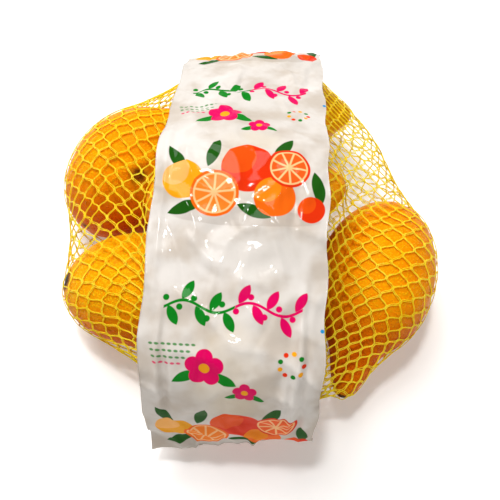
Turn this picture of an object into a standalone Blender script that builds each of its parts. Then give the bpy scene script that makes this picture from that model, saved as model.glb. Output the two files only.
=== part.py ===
"""A net bag of lemons with a printed film band, lying on its back.

Metres, +Z up, the floor at Z = 0. +Y runs along the band, from its crimped end to the end that turns over.
The knitted tube is drawn taut over the lemons: its form is found by letting a loose tube shrink onto them.
The film band is a straight, taut loop round the net. The net is open, so its solid sinks between lemons.
"""

import math

import bmesh
import bpy
import numpy as np
from mathutils.bvhtree import BVHTree
from mathutils.geometry import convex_hull_2d

# Each lemon: the middle of its body, the way its nipple points, the body's half length, its radius,
# and how far the nipple stands out of the body.
LEMONS = (
    ((-0.0646, 0.0433, 0.0336), (0.67, 0.49, 0.55), 0.0397, 0.0301, 0.005),
    ((-0.0531, -0.0218, 0.0286), (1.00, -0.05, 0.05), 0.0393, 0.0285, 0.004),
    ((0.0625, -0.0155, 0.0293), (-0.32, -0.94, -0.08), 0.0416, 0.0292, 0.021),
    ((0.0020, 0.0838, 0.0340), (1.00, -0.04, 0.02), 0.0460, 0.0306, 0.009),
    ((-0.0047, 0.0057, 0.0693), (1.00, 0.14, 0.03), 0.0435, 0.0290, 0.006),
    ((-0.0060, -0.0578, 0.0553), (-1.00, 0.05, 0.04), 0.0350, 0.0278, 0.005),
)
# Where a fold of the slack net stands out on its own: given as a lemon is, with no nipple.
HOLDS = (((0.0590, 0.0520, 0.0320), (-0.33, 0.94, 0.00), 0.0400, 0.0130, 0.0),)
NIPPLE_ANGLE = 0.20
NIPPLE_POWER = 2.0

# The knitted tube
NET_PROUD = 0.0009
NET_AROUND = 84
NET_ALONG = 56
NET_ROUNDS = 700
PULL = 0.48
PULL_AROUND = 0.05
PULL_AROUND_ENDS = 0.34
NEAR_GATHER = (-0.002, -0.0862, 0.027)
FAR_GATHER = (0.003, 0.1160, 0.037)
FAR_GATHER_SLANT = 0.05
GATHER_HALF_WIDTH = 0.022
GATHER_HALF_DEPTH = 0.0016
LOOSE_WIDTH = 0.125
LOOSE_HEIGHT = 0.080
LOOSE_MIDDLE = (-0.004, 0.010, 0.048)
SINK_MOST = 0.032
SINK_STEP = 0.0005
SINK_THICKNESS_SHARE = 0.5
SINK_SMOOTHING = 5
SINK_NARROWING = 2
SINK_ROUNDS = 12
SINK_SETTLING = 0.6
SINK_SLACK = 0.004
SINK_FACING = (0.05, 0.35)

# The film band
BAND_WIDTH = 0.0725
BAND_TURN = math.radians(-3.2)
BAND_MIDDLE = (-0.0030, 0.010)
BAND_THICK = 0.0006
BAND_GAP = 0.0006
BAND_CLEAR = 0.0011
BAND_MARGIN = 0.008
DROOP_SHARE = 0.5
DROOP_MOST = 0.0035
DROOP_POWER = 2.5
DROOP_SMOOTHING = 8
DROOP_FREE = 0.012
DROOP_CLEAR = 0.0015
BAND_ACROSS = 10
BAND_ROUND = 96
FAR_LEAN = 0.10
FAR_LEAN_FROM = 0.050
FAR_LEAN_TO = 0.100
SEAL_TIP = (-0.0938, 0.0200)
SEAL_ROOT = (-0.0920, 0.0290)
SEAL_SLANT = 0.11


def unit(vector):
    vector = np.array(vector, float)
    return vector / np.linalg.norm(vector)


def lemon_reach(cosine, half_length, radius, nipple):
    """How far the skin is from the lemon's middle, in a direction given by its cosine to the nipple's."""
    angle = np.arccos(np.clip(cosine, -1, 1))
    body = half_length * radius / np.hypot(radius * cosine, half_length * np.sin(angle))
    return body + nipple * np.exp(-((angle / NIPPLE_ANGLE) ** NIPPLE_POWER))


def push_out(points, shapes):
    """Moves every point in a shape, or less than NET_PROUD off it, straight out from its middle."""
    for middle, nipple_way, half_length, radius, nipple in shapes:
        offset = points - np.array(middle)
        distance = np.linalg.norm(offset, axis=-1)
        cosine = offset @ unit(nipple_way) / distance
        reach = lemon_reach(cosine, half_length, radius, nipple) + NET_PROUD
        inside = distance < reach
        points[inside] += offset[inside] * (reach / distance - 1)[inside][:, None]


def loose_tube():
    """Rows of points along the bag, each row once around it: wide in the middle, gathered at both ends."""
    along = np.linspace(0, 1, NET_ALONG + 1)[:, None]
    around = np.linspace(0, 2 * math.pi, NET_AROUND, endpoint=False)[None, :]
    swell = np.sin(math.pi * along) ** 0.35
    near, far, middle = (np.array(place) for place in (NEAR_GATHER, FAR_GATHER, LOOSE_MIDDLE))
    axis = near + (far - near) * along
    axis = axis + (middle - axis) * swell * np.array((1, 0, 1))
    half_width = GATHER_HALF_WIDTH + (LOOSE_WIDTH - GATHER_HALF_WIDTH) * swell
    half_depth = GATHER_HALF_DEPTH + (LOOSE_HEIGHT - GATHER_HALF_DEPTH) * swell
    tube = np.empty((NET_ALONG + 1, NET_AROUND, 3))
    tube[..., 0] = axis[:, :1] + half_width * np.cos(around)
    tube[..., 1] = axis[:, 1:2] + FAR_GATHER_SLANT * along * (tube[..., 0] - axis[:, :1])
    tube[..., 2] = axis[:, 2:] + half_depth * np.sin(around)
    return tube


def lift_off_floor(points):
    """Lifts points that are under the floor, and under the band those that leave no room for its film."""
    under_band = np.abs(band_place(points)[..., 0]) < BAND_WIDTH / 2 + BAND_MARGIN
    points[..., 2] = np.maximum(points[..., 2], under_band * (BAND_CLEAR + BAND_THICK + BAND_GAP))


def taut_tube():
    """The loose tube, shrunk onto the lemons and flat on the floor. It draws in most at its ends."""
    tube = loose_tube()
    to_end = np.abs(np.linspace(-1, 1, NET_ALONG + 1))[1:-1, None, None]
    pull_around = PULL_AROUND + (PULL_AROUND_ENDS - PULL_AROUND) * to_end**4
    for _ in range(NET_ROUNDS):
        inner = tube[1:-1]
        along = tube[:-2] + tube[2:] - 2 * inner
        around = np.roll(inner, 1, axis=1) + np.roll(inner, -1, axis=1) - 2 * inner
        moved = inner + (PULL - pull_around) * along + pull_around * around
        push_out(moved, LEMONS + HOLDS)
        lift_off_floor(moved)
        tube[1:-1] = moved
    return tube


def neighbours(field):
    """A field's values at the four neighbours of each point of the tube. The end rows repeat themselves."""
    before, after = np.vstack((field[:1], field[:-1])), np.vstack((field[1:], field[-1:]))
    return np.stack((before, after, np.roll(field, 1, axis=1), np.roll(field, -1, axis=1)))


def tube_normals(tube):
    """The outward unit vector at each point of the tube."""
    around = np.roll(tube, -1, axis=1) - np.roll(tube, 1, axis=1)
    normals = np.cross(np.gradient(tube, axis=0), around)
    return normals / np.linalg.norm(normals, axis=-1, keepdims=True)


def sunk_tube(tube):
    """The taut tube, sunk from above between the lemons, as the open net lets the gaps be seen."""
    normals = tube_normals(tube)
    tree = BVHTree.FromPolygons([tuple(point) for point in tube.reshape(-1, 3)], tube_faces(*tube.shape[:2]))
    most = np.zeros(tube.shape[:2])
    for place in np.ndindex(most.shape):
        wall = tree.ray_cast(tube[place] - SINK_STEP * normals[place], -normals[place])[3]
        most[place] = min(SINK_MOST, SINK_THICKNESS_SHARE * (wall or 0))
    steepest, flattest = SINK_FACING
    most *= np.clip((normals[..., 2] - steepest) / (flattest - steepest), 0, 1)
    for _ in range(SINK_NARROWING):
        most = np.minimum(most, neighbours(most).min(axis=0))
    depth = np.zeros(most.shape)
    is_free = np.ones(most.shape, bool)
    for _ in range(round(SINK_MOST / SINK_STEP)):
        trial = tube - (depth + SINK_STEP)[..., None] * normals
        pushed = trial.copy()
        push_out(pushed, LEMONS)
        is_free &= (pushed == trial).all(axis=-1) & (depth + SINK_STEP <= most)
        depth += SINK_STEP * is_free
    for _ in range(SINK_SMOOTHING):
        depth = (depth + neighbours(depth).mean(axis=0)) / 2
    sunk = tube - depth[..., None] * normals
    slack = SINK_SETTLING * np.clip(depth / SINK_SLACK, 0, 1)[..., None]
    for _ in range(SINK_ROUNDS):
        sunk += slack * (neighbours(sunk).mean(axis=0) - sunk)
        push_out(sunk, LEMONS)
        lift_off_floor(sunk)
    return sunk


def material(name, colour, roughness):
    made = bpy.data.materials.new(name)
    made.use_nodes = True
    shader = made.node_tree.nodes["Principled BSDF"]
    shader.inputs["Base Color"].default_value = (*colour, 1)
    shader.inputs["Roughness"].default_value = roughness
    shader.inputs["Metallic"].default_value = 0
    return made


def add_object(name, points, faces, finish, collection):
    mesh = bpy.data.meshes.new(name)
    mesh.from_pydata([tuple(point) for point in points], [], faces)
    shape = bmesh.new()
    shape.from_mesh(mesh)
    bmesh.ops.recalc_face_normals(shape, faces=shape.faces)
    shape.to_mesh(mesh)
    shape.free()
    mesh.materials.append(finish)
    made = bpy.data.objects.new(name, mesh)
    collection.objects.link(made)
    return made


def tube_faces(rows, columns):
    """The sides of a tube of rows times columns points, and a flat cap at each end."""
    faces = []
    for row in range(rows - 1):
        for column in range(columns):
            after = (column + 1) % columns
            start, above = row * columns, (row + 1) * columns
            faces.append((start + column, above + column, above + after, start + after))
    last = (rows - 1) * columns
    faces.append(tuple(range(columns)))
    faces.append(tuple(reversed(range(last, last + columns))))
    return faces


def far_lean(along):
    """How much each row of the band leans: at the far end its right side reaches further than its left."""
    return FAR_LEAN * np.clip((along - FAR_LEAN_FROM) / (FAR_LEAN_TO - FAR_LEAN_FROM), 0, 1)


def band_point(across, along, height):
    """A point of the band, from its place across and along the band, in the bag's own frame."""
    along = along + far_lean(along) * across - BAND_MIDDLE[1]
    cosine, sine = math.cos(BAND_TURN), math.sin(BAND_TURN)
    x = BAND_MIDDLE[0] + across * cosine - along * sine
    y = BAND_MIDDLE[1] + across * sine + along * cosine
    return np.stack(np.broadcast_arrays(x, y, height), axis=-1)


def band_place(points):
    """The inverse of band_point: across, along and height."""
    x, y = points[..., 0] - BAND_MIDDLE[0], points[..., 1] - BAND_MIDDLE[1]
    cosine, sine = math.cos(BAND_TURN), math.sin(BAND_TURN)
    across = x * cosine + y * sine
    along = y * cosine - x * sine + BAND_MIDDLE[1]
    return np.stack((across, along - far_lean(along) * across, points[..., 2]), axis=-1)


def taut_loop(tube):
    """Places along the band and heights of the taut loop round the net, from the seal over the top."""
    places = band_place(tube.reshape(-1, 3))
    places = places[np.abs(places[:, 0]) < BAND_WIDTH / 2 + BAND_MARGIN, 1:]
    places = np.vstack((places, SEAL_ROOT))
    ring = places[convex_hull_2d([tuple(place) for place in places])]
    ring = np.roll(ring, -int(np.argmin(np.hypot(*(ring - SEAL_ROOT).T))), axis=0)
    if ring[1, 1] < ring[-1, 1]:
        ring = np.roll(ring[::-1], 1, axis=0)
    ring = np.vstack((ring, ring[:1]))
    reach = np.concatenate(((0,), np.cumsum(np.hypot(*np.diff(ring, axis=0).T))))
    even = np.linspace(0, reach[-1], BAND_ROUND + 1)
    return np.stack((np.interp(even, reach, ring[:, 0]), np.interp(even, reach, ring[:, 1])), axis=-1)


def moved_out(path, distance):
    """The path, moved out by distance on its left, with mitred corners."""
    way = np.diff(path, axis=0)
    way /= np.hypot(*way.T)[:, None]
    side = np.stack((-way[:, 1], way[:, 0]), axis=-1)
    before, after = np.vstack((side[:1], side)), np.vstack((side, side[-1:]))
    mitre = (before + after) / (1 + (before * after).sum(axis=1))[:, None]
    return path + distance * mitre


def outward_ways(path):
    """The unit vector to the left of the path at each of its points."""
    way = np.gradient(path, axis=0)
    way /= np.hypot(*way.T)[:, None]
    return np.stack((-way[:, 1], way[:, 0]), axis=-1)


def droop(ring, tree):
    """How far the film's sides hang in from the straight loop: part of the way to the net, if it is free."""
    across = np.linspace(-1, 1, BAND_ACROSS + 1)
    ways = outward_ways(ring)
    room = np.empty((len(ring), BAND_ACROSS + 1))
    for row, (place, way) in enumerate(zip(ring, ways)):
        starts = band_point(across * BAND_WIDTH / 2, *place)
        inward = band_point(0, *(place - way)) - band_point(0, *place)
        for column, start in enumerate(starts):
            distance = tree.ray_cast(start, inward)[3]
            room[row, column] = DROOP_MOST / DROOP_SHARE if distance is None else distance
    edge = np.minimum(DROOP_SHARE * room[:, [0, -1]], DROOP_MOST)
    edge *= ring[:, 1:] > SEAL_ROOT[1] + DROOP_FREE
    for _ in range(DROOP_SMOOTHING):
        edge[1:-1] = (edge[:-2] + 2 * edge[1:-1] + edge[2:]) / 4
    side = np.where(across < 0, edge[:, :1], edge[:, 1:])
    return np.minimum(side * np.abs(across) ** DROOP_POWER, np.maximum(room - DROOP_CLEAR, 0))


def band_rows(path, sag):
    """Rows of points across the film, one for each place of the path, hanging in by sag."""
    across = BAND_WIDTH * np.linspace(-0.5, 0.5, BAND_ACROSS + 1)
    is_tip = (path[:, :1] < SEAL_ROOT[0]) & (path[:, 1:] < SEAL_ROOT[1])
    slant = SEAL_SLANT * is_tip * across
    along_way, up_way = outward_ways(path).T[:, :, None]
    return band_point(across, path[:, :1] + slant - sag * along_way, path[:, 1:] + slant - sag * up_way)


def band_solid(tube):
    """Points and faces of the film: a loop, and a tail where its two layers are crimped together."""
    net = [tuple(point) for point in tube.reshape(-1, 3)]
    tree = BVHTree.FromPolygons(net, tube_faces(NET_ALONG + 1, NET_AROUND))
    ring = moved_out(taut_loop(tube), BAND_GAP)
    ring[0] = ring[-1] = SEAL_ROOT
    sag = droop(ring, tree)
    outer = moved_out(np.vstack((SEAL_TIP, ring, SEAL_TIP)), BAND_THICK)
    outer_sag = np.vstack((0 * sag[:1], sag, 0 * sag[:1]))
    points = np.vstack((band_rows(outer, outer_sag), band_rows(ring[:-1], sag[:-1]))).reshape(-1, 3)
    columns = BAND_ACROSS + 1
    inner_start, loops = len(outer) * columns, len(ring) - 1
    faces = []
    for row in range(len(outer)):
        after = (row + 1) % len(outer)
        for column in range(BAND_ACROSS):
            start, above = row * columns + column, after * columns + column
            faces.append((start, start + 1, above + 1, above))
    for row in range(loops):
        after = (row + 1) % loops
        for column in range(BAND_ACROSS):
            start, above = inner_start + row * columns + column, inner_start + after * columns + column
            faces.append((start, above, above + 1, start + 1))
        for column in (0, BAND_ACROSS):
            out, out_after = (row + 1) * columns + column, (row + 2) * columns + column
            into, into_after = inner_start + row * columns + column, inner_start + after * columns + column
            faces.append((out, out_after, into_after, into))
    last = len(outer) - 1
    for column in (0, BAND_ACROSS):
        tail = [row * columns + column for row in (0, 1, last - 1, last)]
        tail.insert(2, inner_start + column)
        faces.append(tuple(tail))
    return points, faces


def main():
    for old in list(bpy.data.objects):
        bpy.data.objects.remove(old)
    collection = bpy.data.collections.new("net_of_lemons")
    bpy.context.scene.collection.children.link(collection)
    tube = taut_tube()
    net_points = sunk_tube(tube).reshape(-1, 3)
    band_points, band_faces = band_solid(tube)
    everything = np.vstack((net_points, band_points))
    origin = (everything.min(axis=0) + everything.max(axis=0)) / 2
    origin[2] = 0
    yellow = material("yellow_net", (0.85, 0.55, 0.03), 0.5)
    white = material("printed_film", (0.85, 0.82, 0.77), 0.3)
    add_object("net_bag", net_points - origin, tube_faces(NET_ALONG + 1, NET_AROUND), yellow, collection)
    add_object("label_band", band_points - origin, band_faces, white, collection)


if __name__ == "__main__":
    main()
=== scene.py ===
"""The looks of a net bag of lemons with a printed film band: knitted yarn, peel, and glossy printed film.

The bag's forms are given in a frame of its own, and row_frame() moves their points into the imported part's.
"""

import math

import bpy
import numpy as np
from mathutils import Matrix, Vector
from mathutils.bvhtree import BVHTree
from mathutils.geometry import convex_hull_2d


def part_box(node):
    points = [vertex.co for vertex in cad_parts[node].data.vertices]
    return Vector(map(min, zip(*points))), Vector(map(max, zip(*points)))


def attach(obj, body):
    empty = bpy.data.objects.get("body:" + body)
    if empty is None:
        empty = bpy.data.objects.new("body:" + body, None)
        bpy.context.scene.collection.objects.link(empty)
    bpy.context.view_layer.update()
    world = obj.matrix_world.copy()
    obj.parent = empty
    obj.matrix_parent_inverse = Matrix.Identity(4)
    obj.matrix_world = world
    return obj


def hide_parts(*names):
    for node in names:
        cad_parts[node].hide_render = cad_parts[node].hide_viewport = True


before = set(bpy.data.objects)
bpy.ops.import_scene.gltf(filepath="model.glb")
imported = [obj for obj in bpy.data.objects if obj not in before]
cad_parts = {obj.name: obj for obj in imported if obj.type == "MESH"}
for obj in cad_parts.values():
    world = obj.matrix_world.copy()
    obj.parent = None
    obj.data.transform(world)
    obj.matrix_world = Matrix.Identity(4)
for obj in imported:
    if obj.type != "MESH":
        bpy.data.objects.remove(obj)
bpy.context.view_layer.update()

# Each lemon: the middle of its body, the way its nipple points, the body's half length, its radius,
# and how far the nipple stands out of the body.
LEMONS = (
    ((-0.0646, 0.0433, 0.0336), (0.67, 0.49, 0.55), 0.0397, 0.0301, 0.005),
    ((-0.0531, -0.0218, 0.0286), (1.00, -0.05, 0.05), 0.0393, 0.0285, 0.004),
    ((0.0625, -0.0155, 0.0293), (-0.32, -0.94, -0.08), 0.0416, 0.0292, 0.021),
    ((0.0020, 0.0838, 0.0340), (1.00, -0.04, 0.02), 0.0460, 0.0306, 0.009),
    ((-0.0047, 0.0057, 0.0693), (1.00, 0.14, 0.03), 0.0435, 0.0290, 0.006),
    ((-0.0060, -0.0578, 0.0553), (-1.00, 0.05, 0.04), 0.0350, 0.0278, 0.005),
)
# Where a fold of the slack net stands out on its own: given as a lemon is, with no nipple.
HOLDS = (((0.0590, 0.0520, 0.0320), (-0.33, 0.94, 0.00), 0.0400, 0.0130, 0.0),)
NIPPLE_ANGLE = 0.20
NIPPLE_POWER = 2.0

# The knitted tube
NET_PROUD = 0.0009
NET_AROUND = 84
NET_ALONG = 56
NET_ROUNDS = 700
PULL = 0.48
PULL_AROUND = 0.05
PULL_AROUND_ENDS = 0.34
PULL_AROUND_POWER = 4
NEAR_GATHER = (-0.002, -0.0862, 0.027)
FAR_GATHER = (0.003, 0.1160, 0.037)
FAR_GATHER_SLANT = 0.05
GATHER_HALF_WIDTH = 0.022
GATHER_HALF_DEPTH = 0.0016
LOOSE_WIDTH = 0.125
LOOSE_HEIGHT = 0.080
LOOSE_MIDDLE = (-0.004, 0.010, 0.048)
LOOSE_SWELL_POWER = 0.35
SETTLE_ROUNDS = 140
SETTLE_ALONG = 0.30
SETTLE_AROUND = 0.17

# The film band
BAND_WIDTH = 0.0725
BAND_TURN = math.radians(-3.2)
BAND_MIDDLE = (-0.0030, 0.010)
BAND_THICK = 0.0006
BAND_GAP = 0.0006
BAND_CLEAR = 0.0011
BAND_MARGIN = 0.008
BAND_ROUND = 96
FAR_LEAN = 0.10
FAR_LEAN_FROM = 0.050
FAR_LEAN_TO = 0.100
SEAL_TIP = (-0.0938, 0.0200)
SEAL_ROOT = (-0.0920, 0.0290)
SEAL_SLANT = 0.11


# ---------------------------------------------------------------- the bag's forms


def unit(vector):
    vector = np.array(vector, float)
    return vector / np.linalg.norm(vector)


def bell(offset, width, power=2):
    """1 at no offset, falling to nearly 0 beyond the width; the greater the power, the flatter its top."""
    return np.exp(-((offset / width) ** power))


def lemon_reach(cosine, half_length, radius, nipple):
    """How far the skin is from the lemon's middle, in a direction given by its cosine to the nipple's."""
    angle = np.arccos(np.clip(cosine, -1, 1))
    body = half_length * radius / np.hypot(radius * cosine, half_length * np.sin(angle))
    return body + nipple * bell(angle, NIPPLE_ANGLE, NIPPLE_POWER)


def push_out(points, proud, shapes):
    """Moves every point that is inside a shape, or less than proud off it, straight out from its middle."""
    for middle, nipple_way, half_length, radius, nipple in shapes:
        offset = points - np.array(middle)
        distance = np.linalg.norm(offset, axis=-1)
        cosine = offset @ unit(nipple_way) / distance
        reach = lemon_reach(cosine, half_length, radius, nipple) + proud
        inside = distance < reach
        points[inside] += offset[inside] * (reach / distance - 1)[inside][:, None]


def loose_tube():
    """Rows of points along the bag, each row once around it: wide in the middle, gathered at both ends."""
    along = np.linspace(0, 1, NET_ALONG + 1)[:, None]
    around = np.linspace(0, 2 * math.pi, NET_AROUND, endpoint=False)[None, :]
    swell = np.sin(math.pi * along) ** LOOSE_SWELL_POWER
    near, far, middle = (np.array(place) for place in (NEAR_GATHER, FAR_GATHER, LOOSE_MIDDLE))
    axis = near + (far - near) * along
    axis = axis + (middle - axis) * swell * np.array((1, 0, 1))
    half_width = GATHER_HALF_WIDTH + (LOOSE_WIDTH - GATHER_HALF_WIDTH) * swell
    half_depth = GATHER_HALF_DEPTH + (LOOSE_HEIGHT - GATHER_HALF_DEPTH) * swell
    tube = np.empty((NET_ALONG + 1, NET_AROUND, 3))
    tube[..., 0] = axis[:, :1] + half_width * np.cos(around)
    tube[..., 1] = axis[:, 1:2] + FAR_GATHER_SLANT * along * (tube[..., 0] - axis[:, :1])
    tube[..., 2] = axis[:, 2:] + half_depth * np.sin(around)
    return tube


def taut_tube():
    """The loose tube, shrunk onto the lemons and kept above the floor and the film on it.

    Its ends draw in most.
    """
    tube = loose_tube()
    to_end = np.abs(np.linspace(-1, 1, NET_ALONG + 1))[1:-1, None, None]
    pull_around = PULL_AROUND + (PULL_AROUND_ENDS - PULL_AROUND) * to_end**PULL_AROUND_POWER
    for _ in range(NET_ROUNDS):
        inner = tube[1:-1]
        along = tube[:-2] + tube[2:] - 2 * inner
        around = np.roll(inner, 1, axis=1) + np.roll(inner, -1, axis=1) - 2 * inner
        moved = inner + (PULL - pull_around) * along + pull_around * around
        push_out(moved, NET_PROUD, LEMONS + HOLDS)
        under_band = np.abs(band_place(moved)[..., 0]) < BAND_WIDTH / 2 + BAND_MARGIN
        moved[..., 2] = np.maximum(moved[..., 2], under_band * (BAND_CLEAR + BAND_THICK + BAND_GAP))
        tube[1:-1] = moved
    return tube


def far_lean(along):
    """How much each row of the band leans: at the far end its right side reaches further than its left."""
    return FAR_LEAN * np.clip((along - FAR_LEAN_FROM) / (FAR_LEAN_TO - FAR_LEAN_FROM), 0, 1)


def band_point(across, along, height):
    """A point of the band, from its place across and along the band, in the bag's own frame."""
    along = along + far_lean(along) * across - BAND_MIDDLE[1]
    cosine, sine = math.cos(BAND_TURN), math.sin(BAND_TURN)
    x = BAND_MIDDLE[0] + across * cosine - along * sine
    y = BAND_MIDDLE[1] + across * sine + along * cosine
    return np.stack(np.broadcast_arrays(x, y, height), axis=-1)


def band_place(points):
    """The inverse of band_point: across, along and height."""
    x, y = points[..., 0] - BAND_MIDDLE[0], points[..., 1] - BAND_MIDDLE[1]
    cosine, sine = math.cos(BAND_TURN), math.sin(BAND_TURN)
    across = x * cosine + y * sine
    along = y * cosine - x * sine + BAND_MIDDLE[1]
    return np.stack((across, along - far_lean(along) * across, points[..., 2]), axis=-1)


def taut_loop(tube):
    """The taut loop round the net, over its top and back under it: places along the band, and heights."""
    places = band_place(tube.reshape(-1, 3))
    places = places[np.abs(places[:, 0]) < BAND_WIDTH / 2 + BAND_MARGIN, 1:]
    places = np.vstack((places, SEAL_ROOT))
    ring = places[convex_hull_2d([tuple(place) for place in places])]
    ring = np.roll(ring, -int(np.argmin(np.hypot(*(ring - SEAL_ROOT).T))), axis=0)
    if ring[1, 1] < ring[-1, 1]:
        ring = np.roll(ring[::-1], 1, axis=0)
    ring = np.vstack((ring, ring[:1]))
    reach = np.concatenate(((0,), np.cumsum(np.hypot(*np.diff(ring, axis=0).T))))
    even = np.linspace(0, reach[-1], BAND_ROUND + 1)
    return np.stack((np.interp(even, reach, ring[:, 0]), np.interp(even, reach, ring[:, 1])), axis=-1)


def left_ways(path):
    """The unit vector to the left of the path at each of its points."""
    way = np.gradient(path, axis=0)
    way /= np.hypot(*way.T)[:, None]
    return np.stack((-way[:, 1], way[:, 0]), axis=-1)


def evened(points, count):
    """The lines (lines, points, 3) with count points each, evenly spaced by length, both ends included."""
    lengths = np.linalg.norm(np.diff(points, axis=1), axis=-1)
    reach = np.concatenate((np.zeros((len(points), 1)), np.cumsum(lengths, axis=1)), axis=1)
    spaced = np.empty((len(points), count, 3))
    for number, line in enumerate(points):
        even = np.linspace(0, reach[number, -1], count)
        for axis in range(3):
            spaced[number, :, axis] = np.interp(even, reach[number], line[:, axis])
    return spaced


def grid_faces(rows, columns, round_columns=False):
    """Quads over a grid of points, rows times columns."""
    row = np.arange(rows - 1)[:, None]
    column = np.arange(columns if round_columns else columns - 1)[None, :]
    after_column = (column + 1) % columns
    corners = (row * columns + column, (row + 1) * columns + column,
               (row + 1) * columns + after_column, row * columns + after_column)
    size = (row.size, column.size)
    return np.stack([np.broadcast_to(corner, size) for corner in corners], axis=-1).reshape(-1, 4)


def even_rings(tube):
    return evened(np.concatenate((tube, tube[:, :1]), axis=1), NET_AROUND + 1)[:, :-1]


def even_columns(tube):
    return evened(tube.transpose(1, 0, 2), NET_ALONG + 1).transpose(1, 0, 2)


def settled_tube(tube):
    """The tube with its grid slid over its surface until the columns run straight and the rows are even."""
    faces = grid_faces(NET_ALONG + 1, NET_AROUND, round_columns=True)
    surface = BVHTree.FromPolygons(tube.reshape(-1, 3).tolist(), faces.tolist())
    grid = even_columns(even_rings(tube))
    for _ in range(SETTLE_ROUNDS):
        inner = grid[1:-1]
        along = grid[:-2] + grid[2:] - 2 * inner
        around = np.roll(inner, 1, axis=1) + np.roll(inner, -1, axis=1) - 2 * inner
        moved = inner + SETTLE_ALONG * along + SETTLE_AROUND * around
        slid = [surface.find_nearest(point)[0] for point in moved.reshape(-1, 3).tolist()]
        grid[1:-1] = np.array(slid).reshape(inner.shape)
    return even_columns(grid)


tube = taut_tube()
net_tube = settled_tube(tube)
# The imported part's origin, in the bag's own frame
ORIGIN = tube.reshape(-1, 3).min(axis=0) - np.array(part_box("net_bag")[0])


def row_frame(points):
    """Points of the bag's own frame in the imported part's frame."""
    return points - ORIGIN


# ---------------------------------------------------------------- meshes


def add_mesh(name, points, faces, material, node):
    """A smooth object of these points and faces, in the bag's own frame, that stands for the CAD node."""
    mesh = bpy.data.meshes.new(name)
    points = np.ascontiguousarray(row_frame(points), np.float32)
    faces = np.ascontiguousarray(faces, np.int32)
    mesh.vertices.add(len(points))
    mesh.vertices.foreach_set("co", points.ravel())
    mesh.loops.add(faces.size)
    mesh.loops.foreach_set("vertex_index", faces.ravel())
    mesh.polygons.add(len(faces))
    mesh.polygons.foreach_set("loop_start", np.arange(0, faces.size, faces.shape[1], dtype=np.int32))
    mesh.update(calc_edges=True)
    mesh.polygons.foreach_set("use_smooth", np.full(len(faces), True))
    mesh.materials.append(material)
    made = bpy.data.objects.new(name, mesh)
    bpy.context.scene.collection.objects.link(made)
    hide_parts(node)
    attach(made, "root")
    return made


def add_values(made, name, values):
    """One number, or three, at each point of the mesh, for its material to read."""
    kind = "FLOAT" if values.ndim == 1 else "FLOAT_VECTOR"
    attribute = made.data.attributes.new(name, kind, "POINT")
    key = "value" if values.ndim == 1 else "vector"
    attribute.data.foreach_set(key, np.ascontiguousarray(values, np.float32).ravel())


# ---------------------------------------------------------------- materials

# The colour mix node's sockets; those before them are for plain numbers
MIX_FIRST = 6
MIX_SECOND = 7
MIX_RESULT = 2
CELL_SMOOTHNESS = 0.6


class Nodes:
    """Short ways to add and link the nodes of one material."""

    def __init__(self, name):
        self.material = bpy.data.materials.new(name)
        self.material.use_nodes = True
        self.tree = self.material.node_tree
        self.shader = self.tree.nodes["Principled BSDF"]

    def put(self, value, socket):
        if isinstance(value, bpy.types.NodeSocket):
            self.tree.links.new(value, socket)
        else:
            socket.default_value = value

    def math(self, operation, first, second=0.0, third=0.0):
        node = self.tree.nodes.new("ShaderNodeMath")
        node.operation = operation
        for value, socket in zip((first, second, third), node.inputs):
            self.put(value, socket)
        return node.outputs[0]

    def ramp(self, value, low, high, to_low=0.0, to_high=1.0):
        """Turns low..high smoothly into to_low..to_high."""
        node = self.tree.nodes.new("ShaderNodeMapRange")
        node.interpolation_type = "SMOOTHSTEP"
        for number, socket in zip((value, low, high, to_low, to_high), node.inputs):
            self.put(number, socket)
        return node.outputs[0]

    def mix(self, amount, first, second):
        node = self.tree.nodes.new("ShaderNodeMix")
        node.data_type = "RGBA"
        self.put(amount, node.inputs[0])
        for colour, socket in ((first, node.inputs[MIX_FIRST]), (second, node.inputs[MIX_SECOND])):
            self.put((*colour, 1) if isinstance(colour, tuple) else colour, socket)
        return node.outputs[MIX_RESULT]

    def layered(self, colour, layers, values):
        """The colour with layers laid over it, as PEEL_LAYERS gives them."""
        for name, low, high, to_low, to_high, over in layers:
            colour = self.mix(self.ramp(values[name], low, high, to_low, to_high), colour, over)
        return colour

    def attribute(self, name, output="Fac"):
        node = self.tree.nodes.new("ShaderNodeAttribute")
        node.attribute_name = name
        return node.outputs[output]

    def place(self):
        return self.tree.nodes.new("ShaderNodeTexCoord").outputs["Object"]

    def split(self, vector):
        node = self.tree.nodes.new("ShaderNodeSeparateXYZ")
        self.put(vector, node.inputs[0])
        return node.outputs

    def noise(self, vector, scale, detail=2.0):
        node = self.tree.nodes.new("ShaderNodeTexNoise")
        self.put(vector, node.inputs["Vector"])
        node.inputs["Scale"].default_value = scale
        node.inputs["Detail"].default_value = detail
        return node.outputs[0]

    def cells(self, vector, scale):
        node = self.tree.nodes.new("ShaderNodeTexVoronoi")
        node.feature = "SMOOTH_F1"
        self.put(vector, node.inputs["Vector"])
        node.inputs["Scale"].default_value = scale
        node.inputs["Smoothness"].default_value = CELL_SMOOTHNESS
        return node.outputs[0]

    def bump(self, height, distance, strength=1.0):
        node = self.tree.nodes.new("ShaderNodeBump")
        node.inputs["Distance"].default_value = distance
        node.inputs["Strength"].default_value = strength
        self.put(height, node.inputs["Height"])
        self.tree.links.new(node.outputs[0], self.shader.inputs["Normal"])

    def set(self, **values):
        for name, value in values.items():
            self.put(value, self.shader.inputs[name.replace("_", " ")])


# Noises and cells are given per metre, bumps in metres, and colours as linear red, green and blue.
PEEL_PATCHES = 28
PEEL_PORES = 880
PEEL_DENTS = 150
PEEL_DENT_WEIGHT = 1.3
PEEL_BUMP = 0.00034
RAGGED_SCALE = 420
BLEMISH_RAGGED = 0.7
SCAR_RAGGED = 0.35
PEEL = (0.90, 0.325, 0.0015)
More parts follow.
